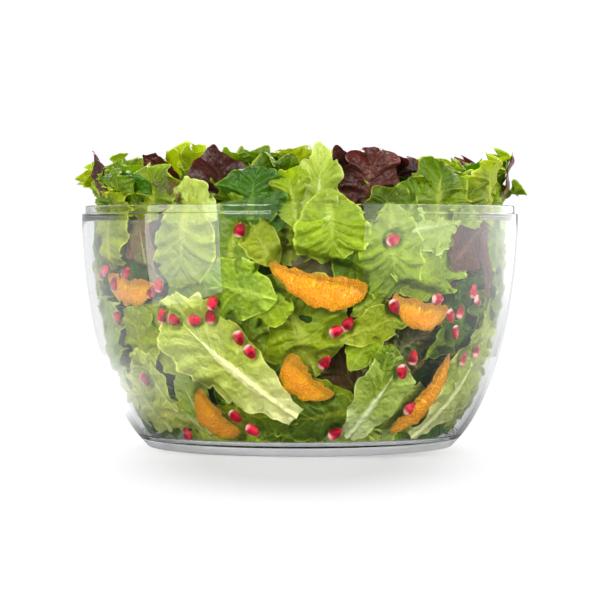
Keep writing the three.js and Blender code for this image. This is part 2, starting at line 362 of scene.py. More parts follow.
def turned(name, profile, mat, body, sides=180):
    """A solid turned about the bowl's axis from a closed profile of (radius, height) rows."""
    radius, height = np.array(profile, float).T
    n = len(radius)
    angle = np.linspace(0, 2 * np.pi, sides, endpoint=False)
    x, y = np.outer(np.cos(angle), radius), np.outer(np.sin(angle), radius)
    points = np.stack([x, y, np.tile(height, (sides, 1))], axis=-1).reshape(-1, 3)
    on_axis = radius < ON_AXIS
    faces = []
    for s in range(sides):
        t = (s + 1) % sides
        for i in range(n):
            j = (i + 1) % n
            if on_axis[i] and on_axis[j]:
                continue
            if on_axis[i]:
                faces.append([i, t * n + j, s * n + j])
            elif on_axis[j]:
                faces.append([s * n + i, t * n + i, j])
            else:
                faces.append([s * n + i, t * n + i, t * n + j, s * n + j])
    obj = mesh_object(name, points, faces, mat)
    bm = bmesh.new()
    bm.from_mesh(obj.data)
    bmesh.ops.delete(bm, geom=[v for v in bm.verts if not v.link_faces], context="VERTS")
    bm.to_mesh(obj.data)
    bm.free()
    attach(obj, body)
    return obj


def rounded(profile, radius, steps=4):
    """The same closed profile with each corner rounded where its sides leave room.

    A point just past each end of a corner keeps the straight parts flat in the shading.
    """
    profile = [np.array(p, float) for p in profile]
    out = []
    for i, p in enumerate(profile):
        u, w = profile[i - 1] - p, profile[(i + 1) % len(profile)] - p
        lu, lw = np.linalg.norm(u), np.linalg.norm(w)
        bend = 1 + np.dot(u, w) / (lu * lw)
        if p[0] < ON_AXIS or bend < 0.02:
            out.append(p)
            continue
        cut = min(radius, 0.4 * lu, 0.4 * lw)
        u, w = u / lu * cut, w / lw * cut
        out.append(p + 1.1 * u)
        for k in range(steps + 1):
            t = k / steps
            out.append(p + (1 - t) ** 2 * u + t**2 * w)
        out.append(p + 1.1 * w)
    return out


# ---------------- where the fruit lies

# Segments of orange: azimuth, height, spin, length, width, thickness, how much wider the end is.
ORANGES = [
    (-54, 102, 96, 50, 16, 8, -0.1),
    (5, 105, 106, 58, 18, 9, 0.4),
    (35, 89, 103, 42, 16, 8, 0.2),
    (3, 48, 134, 36, 17, 8, -0.25),
    (-27, 26, 150, 36, 17, 8, 0.2),
    (41, 36, 30, 58, 14, 8, -0.2),
]
# Seeds: azimuth, height, spin, depth. The first four are solids in the model.
ARILS = [
    (-16, 132, 20, 4), (10, 74, 70, 4), (50, 84, 30, 4), (12, 14, 60, 4), (-71, 106, 10, 4),
    (-66, 108, 60, 3), (-61, 100, 20, 3), (-54, 107, 50, 3), (-44, 96, 40, 4), (-41, 100, 10, 4),
    (-62, 80, 160, 3), (-41, 82, 10, 4), (-37, 80, 110, 4), (-30, 80, 80, 4), (-25, 82, 10, 4),
    (-24, 90, 30, 4), (-54, 44, 140, 3), (-43, 12, 20, 4), (-17, 70, 160, 4), (-14, 62, 150, 4),
    (-21, 24, 130, 3), (-16, 16, 120, 3), (7, 56, 40, 3), (25, 126, 60, 3), (26, 88, 160, 3),
    (40, 92, 90, 3), (46, 82, 150, 4), (55, 96, 10, 4), (58, 90, 120, 4), (49, 72, 170, 4),
    (13, 78, 30, 5), (31, 50, 170, 3), (34, 58, 10, 3), (63, 60, 40, 4), (56, 56, 20, 5),
    (37, 28, 50, 4), (-98, 90, 30, 3), (-112, 60, 70, 3), (-128, 96, 10, 3), (-150, 44, 50, 3),
    (-162, 84, 120, 3), (170, 70, 20, 3), (158, 36, 80, 3), (140, 104, 40, 3), (128, 58, 100, 3),
    (104, 90, 60, 3), (96, 38, 10, 3), (88, 112, 140, 3),
]

# The room that the leaves leave for each: azimuth, height, spin, half its length, half its width, depth.
FRUIT_ROOM = [
    (azimuth, height, spin, 0.5 * length, 0.56 * width, thickness + 2.5)
    for azimuth, height, spin, length, width, thickness, _ in ORANGES
]
FRUIT_ROOM += [(azimuth, height, spin, 4.8, 3.6, depth + 3.0) for azimuth, height, spin, depth in ARILS]

# ---------------- leaves


class Track:
    """A line up the inside of the wall at a depth from it, then straight up past the rim and out over it."""

    FLARE_START = RIM_HEIGHT + 2
    FLARE = 0.006
    TOP = 240
    STEP = 4

    def __init__(self, depth):
        inner = (WALL_POINTS + (WALL + depth) * WALL_INWARD)[::4]
        straight = min(inner[-1, 0], COLLAR_RADIUS - COLLAR_THICKNESS - depth)
        z = np.arange(inner[-1, 1] + self.STEP, self.TOP, self.STEP)
        over = np.maximum(0, z - self.FLARE_START)
        self.points = np.vstack([inner, columns(straight + self.FLARE * over**2, z)])
        steps = np.linalg.norm(np.diff(self.points, axis=0), axis=1)
        self.lengths = np.concatenate([[0], np.cumsum(steps)])

    def point(self, distance):
        return np.array([np.interp(distance, self.lengths, column) for column in self.points.T])

    def at(self, distance):
        """The radius and height at a distance along the line, and the direction outwards there."""
        r, z = self.point(distance)
        dr, dz = self.point(distance + 1) - self.point(distance - 1)
        size = np.hypot(dr, dz) + 1e-9
        return r, z, dz / size, -dr / size

    def distance_to(self, height):
        return float(np.interp(height, self.points[:, 1], self.lengths))


# How each kind of leaf is shaped. wide: where it is widest. stem: how wide its cut stem is. lobe and ragged:
# how uneven the margin is, coarse and fine. frill: how far the margin waves, wave: how long a wave is, grow:
# how sharply it grows towards the margin. crumple and blister: folds of the blade, coarse and fine. cup: how
# far the sides curl. rib: how far the midrib stands out. roll: how much of the margin rolls over. stout: how
# much of the rib shows pale. quilt: how far the blade puffs up between the side veins.
SHAPE_FIELDS = "wide stem lobe ragged frill wave grow crumple blister cup rib roll stout quilt".split()
SHAPE_ROWS = {
    "frilly": (0.64, 0.14, 0.09, 0.05, 5.5, 15, 1.5, 4.2, 1.5, -2, 1.0, 0.7, 0.3, 1.5),
    "curly": (0.68, 0.16, 0.12, 0.05, 7.5, 18, 1.3, 5.5, 1.9, -3, 1.2, 1.0, 0.4, 1.6),
    "oak": (0.66, 0.12, 0.3, 0.04, 4.5, 17, 1.7, 2.4, 0.9, -1, 1.2, 0.4, 0.6, 1.0),
    "broad": (0.6, 0.16, 0.08, 0.025, 4.0, 20, 1.5, 4.2, 1.7, -2, 1.3, 0.5, 0.35, 1.7),
    "pointed": (0.5, 0.1, 0.06, 0.02, 2.4, 18, 1.6, 1.6, 0.7, 3, 1.0, 0.2, 0.6, 0.8),
    "rib": (0.68, 0.34, 0.1, 0.04, 4.6, 18, 2.0, 2.4, 0.7, 2, 2.4, 0.5, 1.0, 1.2),
}
SHAPES = {shape: dict(zip(SHAPE_FIELDS, row)) for shape, row in SHAPE_ROWS.items()}


def leaf_sheet(shape, length, width, seed, detail=1.0):
    """A leaf lying flat: x across, y along from stem to tip, z up.

    Returns points, faces and where each point is: round the margin, out from the spine and up the leaf.
    """
    s = SHAPES[shape]
    rng = np.random.default_rng(seed)
    around = int(round((80 + 0.9 * (length + width)) * detail))
    out_steps = int(round(16 * detail))
    turn = np.linspace(-1, 1, around)  # from the stem by the left side and the tip back to the stem
    out = np.linspace(0, 1, out_steps) ** 0.8
    t, o = np.meshgrid(turn, out, indexing="ij")
    angle = t * np.pi * 0.97
    from_tip = np.abs(t)
    wide = s["wide"] * length
    wedge = np.abs(np.sin(angle)) ** np.where(np.abs(angle) > np.pi / 2, 1.4, 0.8)
    x = np.sign(t) * 0.5 * width * np.maximum(wedge, s["stem"] * np.clip((from_tip - 0.3) / 0.5, 0, 1))
    y = wide + np.where(np.abs(angle) < np.pi / 2, length - wide, wide) * np.cos(angle)
    if shape == "pointed":
        y = y + 0.12 * length * np.clip(1 - from_tip * 7, 0, 1) ** 1.4
    phase = rng.uniform(0, 6.28, 4)
    fade = np.clip((1 - from_tip) * 3, 0, 1)
    edge = columns(x, y, seed * 5.7)

    def scallops(scale, offset):
        """Rounded lobes with notches between them."""
        return 2.2 * np.abs(noise(edge, scale, seed + offset)) - 0.55

    uneven = s["lobe"] * (scallops(0.4 * width, 0) + 0.6 * scallops(0.18 * width, 1))
    uneven = uneven + s["ragged"] * min(1, width / 44) * (scallops(5.5, 2) + 0.6 * scallops(2.6, 3))
    lobes = 1 + np.clip((1 - from_tip) * 5 - 1, 0, 1) * uneven.reshape(angle.shape)
    centre = 0.5 * length
    x, y = x * lobes, centre + (y - centre) * (1 + (lobes - 1) * 0.8)

    # part of the margin rolls over towards the upper side
    rolled = s["roll"] * np.clip(noise(edge, 16, seed + 4) * 2.4, 0, 1).reshape(angle.shape) * fade
    past = np.clip((o - 0.84) / 0.16, 0, 1)
    bent = 2.5 * rolled * past + 1e-6
    reach = np.where(o > 0.84, 0.84 + 0.16 * past * np.sin(bent) / bent, o)
    lift = np.where(o > 0.84, 0.16 * past * (1 - np.cos(bent)) / bent, 0) * 0.4 * width
    spine = 0.84 * length * (1 - from_tip) ** 0.8
    px = x * reach
    py = spine + (y - spine) * reach + 0.04 * length * np.sin(np.pi * o) * fade

    # waves of the margin, coarse and fine, that also fold it sideways
    run = np.concatenate([[0], np.cumsum(np.hypot(np.diff(x[:, -1]), np.diff(y[:, -1])))])
    line = columns(run, 0, seed * 2.3)
    beat = (2 * np.pi * run / s["wave"] + 2.4 * noise(line, 26, seed))[:, None] + phase[0] + 0.9 * o
    quick = (2 * np.pi * run / (0.5 * s["wave"]) + 2.0 * noise(line, 12, seed + 2))[:, None] + phase[1]
    big = s["frill"] * min(1, 0.35 + 0.016 * min(length, width)) * fade
    big = big * (0.75 + 0.5 * noise(line, 20, seed + 1)[:, None])
    z = big * (o ** s["grow"] * np.sin(beat) + 0.3 * o ** (s["grow"] + 1.2) * np.sin(quick))
    fold = 0.2 * big * o ** (s["grow"] + 1)
    px = px + fold * np.cos(beat) * np.cos(angle)
    py = py + fold * np.cos(beat) * np.abs(np.sin(angle))

    flat = columns(px, py, seed * 3.1)

    def bumps(scale, offset):
        return noise(flat, scale, seed + offset).reshape(px.shape)

    z = z + s["crumple"] * (0.35 + 0.65 * o) * bumps(15, 1)
    z = z + s["blister"] * bumps(6.0, 0) * np.sin(np.pi * np.clip(o, 0.02, 0.96))
    z = z + s["crumple"] * bumps(34, 3) * o + lift
    along = (t * 0.5 + 0.5) + 0.02 * bumps(12, 2)
    puffed = np.abs(np.sin(np.pi * SIDE_VEINS * along)) * np.sin(np.pi * np.clip(o, 0, 1))
    z = z + s["quilt"] * min(1, width / 40) * puffed * np.clip((1 - from_tip) * 4, 0, 1)
    up = np.clip(py / length, 0, 1)
    z = z + s["cup"] * (np.abs(px) / (0.5 * width)) ** 1.5 * 0.6
    z = z + s["rib"] * np.exp(-((o / (0.05 + 0.13 * (1 - up))) ** 2)) * (1.1 - up) ** 0.7
    points = columns(px, py - 0.5 * length, z)
    where = columns(t * 0.5 + 0.5, o, up)
    return points, grid_faces(around, out_steps), where


ROOM_FADE = 4.0


def room_for_fruit(x, y, z):
    """How far leaves are pressed back from the wall at each point, to leave room for the fruit."""
    room = np.zeros(x.size)
    azimuth = np.degrees(np.arctan2(x, -y))
    for at, height, spin, half_long, half_wide, depth in FRUIT_ROOM:
        off = (azimuth - at + 180) % 360 - 180
        side, up = np.radians(off) * float(inner_radius(height)), z - height
        c, s = cos_sin(spin)
        along, across = side * s + up * c, side * c - up * s
        beyond = np.hypot(np.maximum(np.abs(along) - half_long + half_wide, 0), across) - half_wide
        share = np.clip(1 - beyond / ROOM_FADE, 0, 1)
        room = np.maximum(room, depth * share * share * (3 - 2 * share))
    return room


# how softly points are pressed, how far inside the limit they may end, and from how far inside it starts
PRESS_SOFTNESS = 1.6
PRESS_DEPTH = 3.5
PRESS_REACH = 8
LOWEST_Z = FLOOR_Z + 1.0
FREE_FROM_Z = RIM_HEIGHT + 1.5


def keep_inside(points, back=0.0, fruit=False):
    """Presses points back from the wall, the rim's lip and the floor, as leaves lie against clear plastic.

    back is how much further from the wall they stop, so that what lies behind another piece stays behind it.
    """
    x, y, z = points.T
    z = np.maximum(z, LOWEST_Z)
    r = np.hypot(x, y) + 1e-9
    limit = inner_radius(z) - back
    if not fruit:
        limit = limit - room_for_fruit(x, y, z)
    pressed = limit - PRESS_SOFTNESS * np.log1p(np.exp(np.clip((limit - r) / PRESS_SOFTNESS, -30, 30)))
    pressed = np.maximum(pressed, limit - PRESS_DEPTH)
    pressed = np.where(r < limit - PRESS_REACH, r, np.minimum(pressed, limit))
    new = np.where(z < FREE_FROM_Z, pressed, r)
    return columns(x * new / r, y * new / r, z)


def spun(points, spin):
    c, s = cos_sin(spin)
    x, y, z = points.T
    return x * c + y * s, y * c - x * s, z


def turned_to(azimuth, radial, sideways, height):
    """Points (outward, sideways, up) at an azimuth, where sideways is to the right as seen from outside."""
    c, s = cos_sin(azimuth - 90)
    return columns(radial * c - sideways * s, radial * s + sideways * c, height)


def on_wall(points, azimuth, height, depth, spin, curl=0.0):
    """Lays a flat piece along the wall. curl bends its tip and stem inwards."""
    side, up, through = spun(points, spin)
    track = Track(depth)
    r, z, nr, nz = track.at(track.distance_to(height) + up)
    through = through - curl * (up / 40) ** 2
    angle = side / r
    r = r + nr * through
    return turned_to(azimuth, r * np.cos(angle), r * np.sin(angle), z + nz * through)


def in_heap(points, azimuth, radius, height, lean, spin, bend, turn=0.0):
    """Stands a leaf in the heap, leaning out, its length sagging by bend and its face turned aside."""
    side, up, through = spun(points, spin)
    half = 0.5 * max(1.0, float(points[:, 1].max() - points[:, 1].min()))
    c, s = cos_sin(lean)
    off = through + bend * (1 - (points[:, 1] / half) ** 2) - side**2 / (2.4 * radius + 90)
    ahead, aside = cos_sin(turn)
    outward = radius * ahead + up * s + off * c
    return turned_to(azimuth + turn, outward, side - radius * aside, height + up * c - off * s)


def behind(depth):
    """How much further back a leaf at this depth stops than one against the wall."""
    return min(4.0, max(0.0, 0.4 * (depth - 3.5)))


def tint_of(seed, count, shade, stout):
    rng = np.random.default_rng(seed + 900)
    value = rng.uniform(0.82, 1.18)
    warm = rng.uniform(-0.1, 0.12)
    # each leaf gets a random tone, times shade: a painted shade that darkens leaves lying deep in the salad
    return np.tile([value * (1 + warm) * shade, value * shade, value * (1 - warm) * shade, stout], (count, 1))


def make_leaf(name, shape, look, place, length, width, seed, replaces=None, detail=1.0, shade=1.0, back=0.0):
    """A leaf of the salad. place moves its flat points to where it lies, and shade darkens its colour as
    painted shade, for leaves that lie deep in the salad.
    """
    sheet, faces, where = leaf_sheet(shape, length, width, seed, detail)
    points = keep_inside(place(sheet), back + 0.3 * (seed % 4))
    tint = tint_of(seed, len(points), shade, SHAPES[shape]["stout"])
    attributes = [("leaf", "FLOAT_VECTOR", where), ("tint", "FLOAT_COLOR", tint)]
    obj = mesh_object(name, points, faces, GREENS[look], attributes)
    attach(obj, "salad")
    if replaces:
        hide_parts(replaces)


# Leaves that are solids in the model, against the wall: kind, shape, look, azimuth, height, depth, spin,
# length, width.
WALL_LEAVES = [
    # at the front, from left to right
    ("green", "frilly", "pale", -72, 62, 3.5, -6, 62, 34),
    ("green", "frilly", "lime", -62, 134, 3.5, 10, 46, 42),
    ("green", "frilly", "lime", -52, 67, 3.5, -10, 40, 34),
    ("green", "frilly", "pale", -57, 30, 3.5, -36, 42, 28),
    ("green", "frilly", "lime", -32, 126, 3.5, -172, 52, 38),
    ("green", "rib", "pale", -22, 56, 3.5, -48, 98, 42),
    ("green", "frilly", "lime", -16, 97, 3.5, -76, 42, 32),
    ("deep", "frilly", "green", -18, 26, 14.5, 70, 56, 36),
    ("green", "broad", "lime", -1, 76, 14.5, -20, 62, 52),
    ("green", "frilly", "lime", 8, 135, 3.5, 174, 40, 38),
    ("deep", "broad", "green", -2, 136, 14.5, 4, 48, 50),
    ("green", "frilly", "lime", 25, 121, 3.5, 176, 52, 36),
    ("green", "frilly", "lime", 40, 116, 9, 160, 50, 40),
    ("red", "broad", "red", 55, 122, 14.5, 50, 60, 46),
    ("red", "broad", "bronze", 33, 62, 14.5, 60, 50, 36),
    ("green", "rib", "pale", 24, 34, 3.5, 28, 54, 30),
    ("green", "rib", "pale", 58, 42, 3.5, 34, 84, 32),
    ("green", "frilly", "green", 77, 92, 3.5, 8, 56, 38),
    # at the sides and back
    ("green", "frilly", "green", -97, 104, 3.5, 14, 72, 46),
    ("deep", "broad", "deep", -104, 40, 3.5, 36, 64, 42),
    ("green", "frilly", "lime", -150, 94, 3.5, -20, 90, 46),
    ("red", "frilly", "red", 176, 52, 3.5, 24, 74, 44),
    ("green", "frilly", "lime", 118, 84, 3.5, -24, 94, 46),
    ("deep", "broad", "deep", -86, 72, 14.5, -8, 84, 54),
    ("green", "frilly", "green", -126, 60, 14.5, 10, 90, 60),
    ("deep", "broad", "deep", 146, 74, 14.5, 18, 94, 62),
    ("deep", "broad", "deep", 84, 70, 14.5, -12, 84, 56),
    # standing out of the rim
    ("green", "broad", "lime", -80, 152, 7, -14, 40, 48),
    ("deep", "frilly", "deep", -13, 149, 7.5, 6, 34, 37),
    ("green", "curly", "green", 40, 153, 4, 12, 34, 40),
    ("green", "curly", "lime", 64, 153, 5, -8, 42, 46),
    ("green", "curly", "green", 90, 150, 7, 12, 46, 50),
    ("red", "curly", "red", 122, 152, 9, -8, 46, 48),
    ("green", "curly", "lime", 156, 151, 5, 10, 48, 52),
    ("green", "curly", "green", -116, 151, 5, 6, 50, 56),
]

# Leaves that are solids in the model, in the heap: kind, shape, look, azimuth, radius, height, lean, spin,
# length, width, bend.
HEAP_LEAVES = [
    ("green", "curly", "lime", -56, 78, 147, 28, -10, 62, 54, -4),
    ("red", "pointed", "red", -27, 104, 147, 14, 4, 60, 42, -4),
    ("green", "curly", "green", -6, 84, 147, 26, 8, 62, 56, -5),
    ("red", "curly", "red", 24, 98, 149, 16, 6, 58, 48, -4),
    ("green", "curly", "lime", 62, 84, 147, 30, 12, 62, 60, -5),
    ("deep", "broad", "deep", 106, 96, 145, 30, -10, 64, 66, -5),
    ("green", "curly", "lime", 150, 84, 147, 34, 8, 66, 70, -5),
    ("green", "curly", "green", -164, 96, 145, 30, -8, 64, 66, -5),
    ("green", "curly", "green", -116, 84, 147, 34, 10, 66, 70, -5),
    ("green", "curly", "green", 16, 42, 146, 54, 6, 70, 74, -6),
    ("red", "curly", "red", 132, 46, 144, 56, -10, 70, 76, -6),
    ("deep", "broad", "deep", -104, 46, 144, 54, 8, 70, 76, -6),
    ("green", "curly", "lime", 90, 2, 166, 88, 0, 56, 60, 4),
]

MODEL_NAMES = {"green": "green_leaf", "deep": "dark_leaf", "red": "red_leaf"}
counts = dict.fromkeys(MODEL_NAMES, 0)


def model_name(kind):
    counts[kind] += 1
    return f"{MODEL_NAMES[kind]}_{counts[kind]:02d}"


# a leaf is a little larger than its solid, because its margin is cut into lobes
for n, (kind, shape, look, *place, length, width) in enumerate(WALL_LEAVES):
    node = model_name(kind)
    curl = 1.0 if shape == "rib" else 3.0
    make_leaf(
        "leaf_" + node, shape, look, lambda p: on_wall(p, *place, curl), length * 1.04, width * 1.12, n,
        replaces=node, back=behind(place[2]),
    )
for n, (kind, shape, look, *place, length, width, bend) in enumerate(HEAP_LEAVES):
    node = model_name(kind)
    make_leaf(
        "leaf_" + node, shape, look, lambda p: in_heap(p, *place, bend), length, width * 1.05, 100 + n,
        replaces=node, back=2.0,
    )

# Smaller leaves that show at the front, against the wall: shape, look, azimuth, height, depth, spin, length,
# width.
SMALL_WALL = [
    # upper left
    ("frilly", "green", -84, 118, 5, 0, 48, 38),
    ("frilly", "green", -72, 128, 7, -20, 44, 36),
    ("pointed", "bronze", -47, 120, 6, -12, 50, 20),
    ("pointed", "red", -50, 128, 9, 40, 40, 22),
    ("broad", "deep", -60, 112, 12, 20, 44, 36),
    ("broad", "green", -18, 128, 8, 10, 50, 32),
    ("frilly", "lime", -10, 124, 6, -30, 30, 22),
    ("frilly", "lime", -12, 88, 8, 96, 40, 22),
    ("frilly", "green", -16, 76, 10, -30, 38, 32),
    # lower left
    ("frilly", "pale", -82, 84, 5, -10, 54, 34),
    ("frilly", "lime", -41, 68, 8, -16, 50, 34),
    ("frilly", "lime", -34, 88, 10, 60, 44, 34),
    ("frilly", "pale", -50, 42, 5, -30, 46, 24),
    ("rib", "pale", -36, 30, 6, -14, 42, 20),
    ("frilly", "pale", -74, 34, 5, -30, 52, 30),
    ("frilly", "lime", -14, 26, 10, 62, 48, 32),
    ("frilly", "lime", 8, 33, 9, -80, 42, 28),
    ("broad", "deep", 8, 15, 9, 84, 46, 24),
    ("broad", "green", -6, 13, 8, -74, 40, 22),
    ("frilly", "green", 22, 14, 9, 70, 40, 24),
    # upper right
    ("broad", "green", 15, 116, 9, 0, 44, 28),
    ("frilly", "pale", 37, 133, 5, 82, 44, 30),
    ("frilly", "lime", 33, 108, 6, 100, 40, 30),
    ("pointed", "red", 61, 108, 4, -24, 38, 11),
    ("frilly", "red", 52, 125, 4, 50, 46, 32),
    ("frilly", "green", 70, 126, 6, -10, 50, 38),
    ("frilly", "lime", 88, 118, 6, 8, 50, 38),
    # lower right
    ("frilly", "lime", 20, 92, 6, 52, 30, 16),
    ("frilly", "lime", 21, 77, 5, 68, 44, 22),
    ("broad", "green", 47, 66, 8, 60, 32, 22),
    ("broad", "green", 25, 54, 5, 10, 26, 18),
    ("frilly", "lime", 18, 62, 7, 30, 26, 18),
    ("frilly", "pale", 40, 22, 8, 36, 44, 26),
    ("rib", "pale", 66, 52, 4.5, 30, 84, 42),
    ("frilly", "lime", 72, 30, 5, 40, 50, 28),
    ("frilly", "lime", 86, 58, 5, 24, 56, 34),
    ("frilly", "green", 68, 72, 8, 16, 44, 30),
    ("frilly", "green", 80, 104, 11, 0, 54, 44),
    ("frilly", "green", 98, 100, 6, 10, 54, 40),
    # low along the rim
    ("broad", "deep", -12, 140, 9, 80, 44, 26),
    ("frilly", "green", -60, 151, 5, 14, 36, 44),
    ("broad", "deep", -52, 150, 7, 30, 34, 30),
    ("frilly", "green", -44, 152, 6, 10, 34, 36),
    ("curly", "bronze", -38, 148, 8, -24, 30, 24),
    ("frilly", "pale", -29, 146, 4, -62, 34, 26),
    ("curly", "pale", 5, 154, 5, 2, 44, 26),
    ("curly", "lime", -2, 150, 7, -10, 36, 26),
    ("curly", "green", 24, 143, 5, -8, 28, 32),
    ("curly", "lime", 52, 147, 3, -30, 32, 38),
    ("curly", "green", 32, 148, 4, 40, 30, 28),
    ("curly", "lime", -72, 148, 5, 24, 34, 36),
    ("curly", "lime", 74, 148, 4, 30, 34, 34),
    # behind the seeds at the right
    ("broad", "deep", 60, 80, 14, 60, 62, 50),
]

# Smaller leaves that stand up in the heap: shape, look, azimuth, radius, height, lean, spin, length, width,
# bend.
SMALL_HEAP = [
    ("frilly", "lime", -86, 122, 149, 40, -14, 38, 40, -3),
    ("pointed", "red", -71, 127, 164, 8, -6, 26, 18, -2),
    ("curly", "green", -66, 112, 158, 22, -10, 32, 22, -3),
    ("frilly", "deep", -62, 114, 151, 20, 20, 30, 30, -3),
    ("oak", "lime", -40, 90, 165, 16, -22, 38, 18, -3),
    ("oak", "lime", -45, 92, 163, 18, 14, 36, 20, -3),
    ("pointed", "red", -49, 108, 163, 14, -50, 34, 24, -3),
    ("curly", "green", -26, 86, 163, 24, 10, 34, 26, -3),
    ("curly", "green", -16, 84, 161, 22, 6, 36, 34, -3),
    ("curly", "lime", -4, 82, 163, 12, -8, 36, 38, -3),
    ("curly", "lime", 10, 94, 160, 18, 60, 34, 28, -3),
    ("pointed", "red", 16, 100, 162, 22, -24, 34, 18, -2),
    ("curly", "red", 30, 104, 155, 18, 30, 40, 30, -3),
    ("frilly", "red", 20, 116, 157, 8, 6, 46, 38, -3),
    ("curly", "lime", 40, 98, 157, 20, 10, 34, 24, -3),
    ("frilly", "green", 50, 106, 155, 26, 36, 38, 30, -3),
    ("pointed", "deep", 61, 112, 157, 28, 12, 34, 22, -3),
    ("broad", "lime", 66, 114, 155, 20, -30, 34, 18, -3),
    ("curly", "lime", 76, 118, 159, 22, -8, 40, 26, -3),
    ("pointed", "red", 76, 130, 164, 10, 10, 26, 18, -2),
    ("frilly", "green", 86, 122, 148, 50, 24, 32, 34, -3),
]

for n, (shape, look, *place, length, width) in enumerate(SMALL_WALL):
    make_leaf(
        f"leaf_small_{n + 1:02d}", shape, look, lambda p: on_wall(p, *place, 3.0), length, width, 600 + n,
        detail=0.9, back=behind(place[2]),
    )
for n, (shape, look, *place, length, width, bend) in enumerate(SMALL_HEAP):
    make_leaf(
        f"leaf_tip_{n + 1:02d}", shape, look, lambda p: in_heap(p, *place, bend), length, width, 700 + n,
        detail=0.9, back=1.5,
    )

# Leaves that lie low all round, against the foot of the wall.
rng = np.random.default_rng(5)
for n in range(24):
    azimuth, height = n * 15 + 6, rng.uniform(15, 27)
    look = ["green", "pale", "lime", "deep", "green"][n % 5]
    shape = "broad" if look == "deep" else "frilly"
    depth = 5 + n % 3 * 2
    spin = rng.uniform(60, 110) * (1 if n % 2 else -1)
    length, width = rng.uniform(46, 58), rng.uniform(28, 38)
    make_leaf(
        f"leaf_low_{n + 1:02d}", shape, look, lambda p: on_wall(p, azimuth, height, depth, spin, 1.0),
        length, width, 800 + n, detail=0.8, back=2.0 + n % 3,
    )

GOLDEN_ANGLE = 137.5
FRONT_FILL = ["deep", "green", "deep", "bronze", "green"]
BACK_FILL = ["green", "lime", "deep", "pale"]

# Leaves that fill the salad behind those that are placed. Their colour is darkened as painted shade, and at
# the front they are mostly dark kinds of leaf, which also stand in for the shade in the gaps.
rng = np.random.default_rng(11)
for n in range(80):
    azimuth = (n * GOLDEN_ANGLE) % 360
    at_front = azimuth < 90 or azimuth > 270
    height = rng.uniform(20, 140)
    depth = rng.uniform(17, 34) if at_front else rng.uniform(4, 26)
    look = str(rng.choice(FRONT_FILL if at_front else BACK_FILL))
    shape = "broad" if look == "deep" else "frilly"
    spin = rng.uniform(-70, 70)
    length, width = rng.uniform(56, 84), rng.uniform(46, 66)
    make_leaf(
        f"leaf_fill_{n + 1:02d}", shape, look, lambda p: on_wall(p, azimuth, height, depth, spin, 6.0),
        length, width, 200 + n, detail=0.55, shade=0.65, back=4.0 if at_front else 1.5,
    )

# Leaves all over the top of the heap, leaning out more towards its middle, their colour darkened as painted
# shade.
HEAP_RADIUS = 108
HEAP_COUNT = 52
for n in range(HEAP_COUNT):
    azimuth = (n * GOLDEN_ANGLE) % 360
    radius = HEAP_RADIUS * math.sqrt((n + 0.5) / HEAP_COUNT)
    height = 148 - 0.0009 * radius**2 + rng.uniform(-8, 4)
    look = str(rng.choice(["green", "lime", "green", "deep", "red", "lime"]))
    shape = "frilly" if look in ("deep", "red") else "curly"
    lean = 20 + 50 * (1 - radius / HEAP_RADIUS) + rng.uniform(-15, 15)
    spin = rng.uniform(-40, 40)
    turn = 70 * math.sin(n * 2.4 + 1) * (1 - radius / 125)
    length, width = rng.uniform(44, 60), rng.uniform(42, 58)
    make_leaf(
        f"leaf_top_{n + 1:02d}", shape, look,
        lambda p: in_heap(p, azimuth, radius, height, lean, spin, -5, turn),
        length, width, 400 + n, detail=0.8, shade=0.75, back=3.0,
    )

# ---------------- oranges and seeds


def orange_segment(name, azimuth, height, spin, length, width, thickness, uneven, seed):
    """A half-moon wedge: thick and rounded along its back, thin along its inner edge, wider at one end."""
    across, along = 30, 56
    s = np.linspace(-1, 1, along)
    q = np.linspace(0, 2 * np.pi, across, endpoint=False)
    ss, qq = np.meshgrid(s, q, indexing="ij")
    taper = np.sqrt(np.clip(1 - np.abs(ss) ** 2.6, 0, 1))
    u = np.cos(qq)
    y = ss * length * 0.5
    x = u * width * 0.5 * taper * (1 + uneven * ss) + width * 0.42 * (1 - ss**2)
    swell = (0.32 + 0.68 * np.clip((u + 1) / 2, 0, 1) ** 0.7) * np.abs(np.sin(qq)) ** 0.75
    z = swell * np.sign(np.sin(qq)) * thickness * 0.5 * taper**0.7
    ragged = noise(columns(y, 4.0, seed * 7.0), 2.6, seed + 1)
    x = x + 2.0 * (np.abs(u) ** 3 * np.sign(u) * ragged.reshape(x.shape) * taper)
    flat = columns(x, y, z + seed * 9)
    ridged = noise(flat * np.array([0.35, 1, 1]), 2.2, seed)
    lumps = noise(flat, 6, seed + 2)
    z = z.ravel() + np.sign(z.ravel()) * (0.35 * ridged + 0.5 * lumps) * taper.ravel()
    points = columns(x.ravel() + 0.5 * lumps, y.ravel(), z)
    placed = keep_inside(on_wall(points, azimuth, height, 1.6 + thickness / 2, spin), fruit=True)
    flesh = columns(ss * 1.4, u, 0)
    faces = tube_faces(along, across)
    faces.append(list(range(across))[::-1])
    faces.append([(along - 1) * across + j for j in range(across)])
    obj = mesh_object("segment_" + name, placed, faces, FLESH, [("flesh", "FLOAT_VECTOR", flesh)])
    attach(obj, "salad")
    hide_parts(name)


for n, row in enumerate(ORANGES):
    orange_segment(f"orange_segment_{n + 1}", *row, n)


